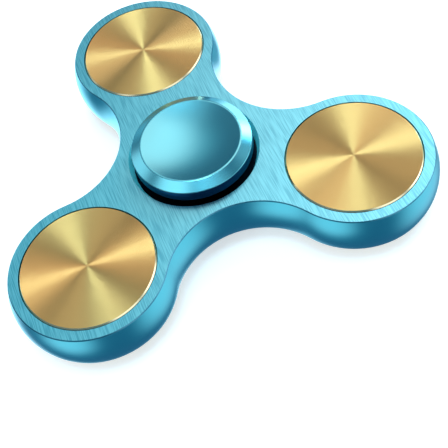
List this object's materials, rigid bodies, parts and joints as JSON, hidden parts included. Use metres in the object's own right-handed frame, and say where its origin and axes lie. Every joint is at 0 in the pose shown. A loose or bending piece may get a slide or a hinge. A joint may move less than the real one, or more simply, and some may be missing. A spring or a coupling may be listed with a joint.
{
  "type": "fidget spinner",
  "caption": "Three-lobed fidget spinner: anodised aluminium frame with brass disc weights, turning on a ball bearing between two dished finger caps.",
  "frame": {"origin": "bearing centre, on the spin axis at mid-thickness of the frame", "axes": "+Z is the spin axis, out of the front face; +Y points at the first lobe; +X is the widest way, across the other two lobes"},
  "size_m": [0.073, 0.0668, 0.0142],
  "materials": {
    "frame_metal": "anodised turquoise; flat faces brushed in straight fine lines, sides satin",
    "cap_metal": "anodised turquoise, turned and polished",
    "brass": "lathe-turned faces with a concentric grain",
    "bearing_steel": "ground bearing steel",
    "ball_steel": "mirror-polished balls",
    "cage_plastic": "natural nylon",
    "shield_black": "blackened steel"
  },
  "bodies": {
    "hub": {"front_cap": "cap_metal", "back_cap": "cap_metal", "inner_ring": "bearing_steel"},
    "spinner": {"frame_body": "frame_metal", "weight_front_1": "brass", "weight_front_2": "brass", "weight_front_3": "brass", "weight_back_1": "brass", "weight_back_2": "brass", "weight_back_3": "brass", "outer_ring": "bearing_steel", "front_shield": "shield_black", "back_shield": "shield_black"},
    "cage": {"ball_cage": "cage_plastic"},
    "ball_1": {"ball_1": "ball_steel"},
    "ball_2": {"ball_2": "ball_steel"},
    "ball_3": {"ball_3": "ball_steel"},
    "ball_4": {"ball_4": "ball_steel"},
    "ball_5": {"ball_5": "ball_steel"},
    "ball_6": {"ball_6": "ball_steel"},
    "ball_7": {"ball_7": "ball_steel"},
    "ball_8": {"ball_8": "ball_steel"},
    "ball_9": {"ball_9": "ball_steel"},
    "ball_10": {"ball_10": "ball_steel"}
  },
  "joints": [
    {"name": "frame_spin", "type": "hinge", "parent": "hub", "child": "spinner", "pos_m": [0, 0, 0], "axis": [0, 0, 1], "continuous": true},
    {"name": "cage_spin", "type": "hinge", "parent": "hub", "child": "cage", "pos_m": [0, 0, 0], "axis": [0, 0, 1], "continuous": true},
    {"name": "ball_1_spin", "type": "hinge", "parent": "cage", "child": "ball_1", "pos_m": [0, 0.00476, 0], "axis": [0, 0, 1], "continuous": true},
    {"name": "ball_2_spin", "type": "hinge", "parent": "cage", "child": "ball_2", "pos_m": [-0.0028, 0.00385, 0], "axis": [0, 0, 1], "continuous": true},
    {"name": "ball_3_spin", "type": "hinge", "parent": "cage", "child": "ball_3", "pos_m": [-0.00453, 0.00147, 0], "axis": [0, 0, 1], "continuous": true},
    {"name": "ball_4_spin", "type": "hinge", "parent": "cage", "child": "ball_4", "pos_m": [-0.00453, -0.00147, 0], "axis": [0, 0, 1], "continuous": true},
    {"name": "ball_5_spin", "type": "hinge", "parent": "cage", "child": "ball_5", "pos_m": [-0.0028, -0.00385, 0], "axis": [0, 0, 1], "continuous": true},
    {"name": "ball_6_spin", "type": "hinge", "parent": "cage", "child": "ball_6", "pos_m": [0, -0.00476, 0], "axis": [0, 0, 1], "continuous": true},
    {"name": "ball_7_spin", "type": "hinge", "parent": "cage", "child": "ball_7", "pos_m": [0.0028, -0.00385, 0], "axis": [0, 0, 1], "continuous": true},
    {"name": "ball_8_spin", "type": "hinge", "parent": "cage", "child": "ball_8", "pos_m": [0.00453, -0.00147, 0], "axis": [0, 0, 1], "continuous": true},
    {"name": "ball_9_spin", "type": "hinge", "parent": "cage", "child": "ball_9", "pos_m": [0.00453, 0.00147, 0], "axis": [0, 0, 1], "continuous": true},
    {"name": "ball_10_spin", "type": "hinge", "parent": "cage", "child": "ball_10", "pos_m": [0.0028, 0.00385, 0], "axis": [0, 0, 1], "continuous": true}
  ],
  "couplings": [
    {"joint": "cage_spin", "follows": "frame_spin", "ratio": 0.60499},
    {"joint": "ball_1_spin", "follows": "frame_spin", "ratio": 2.2763},
    {"joint": "ball_2_spin", "follows": "frame_spin", "ratio": 2.2763},
    {"joint": "ball_3_spin", "follows": "frame_spin", "ratio": 2.2763},
    {"joint": "ball_4_spin", "follows": "frame_spin", "ratio": 2.2763},
    {"joint": "ball_5_spin", "follows": "frame_spin", "ratio": 2.2763},
    {"joint": "ball_6_spin", "follows": "frame_spin", "ratio": 2.2763},
    {"joint": "ball_7_spin", "follows": "frame_spin", "ratio": 2.2763},
    {"joint": "ball_8_spin", "follows": "frame_spin", "ratio": 2.2763},
    {"joint": "ball_9_spin", "follows": "frame_spin", "ratio": 2.2763},
    {"joint": "ball_10_spin", "follows": "frame_spin", "ratio": 2.2763}
  ]
}
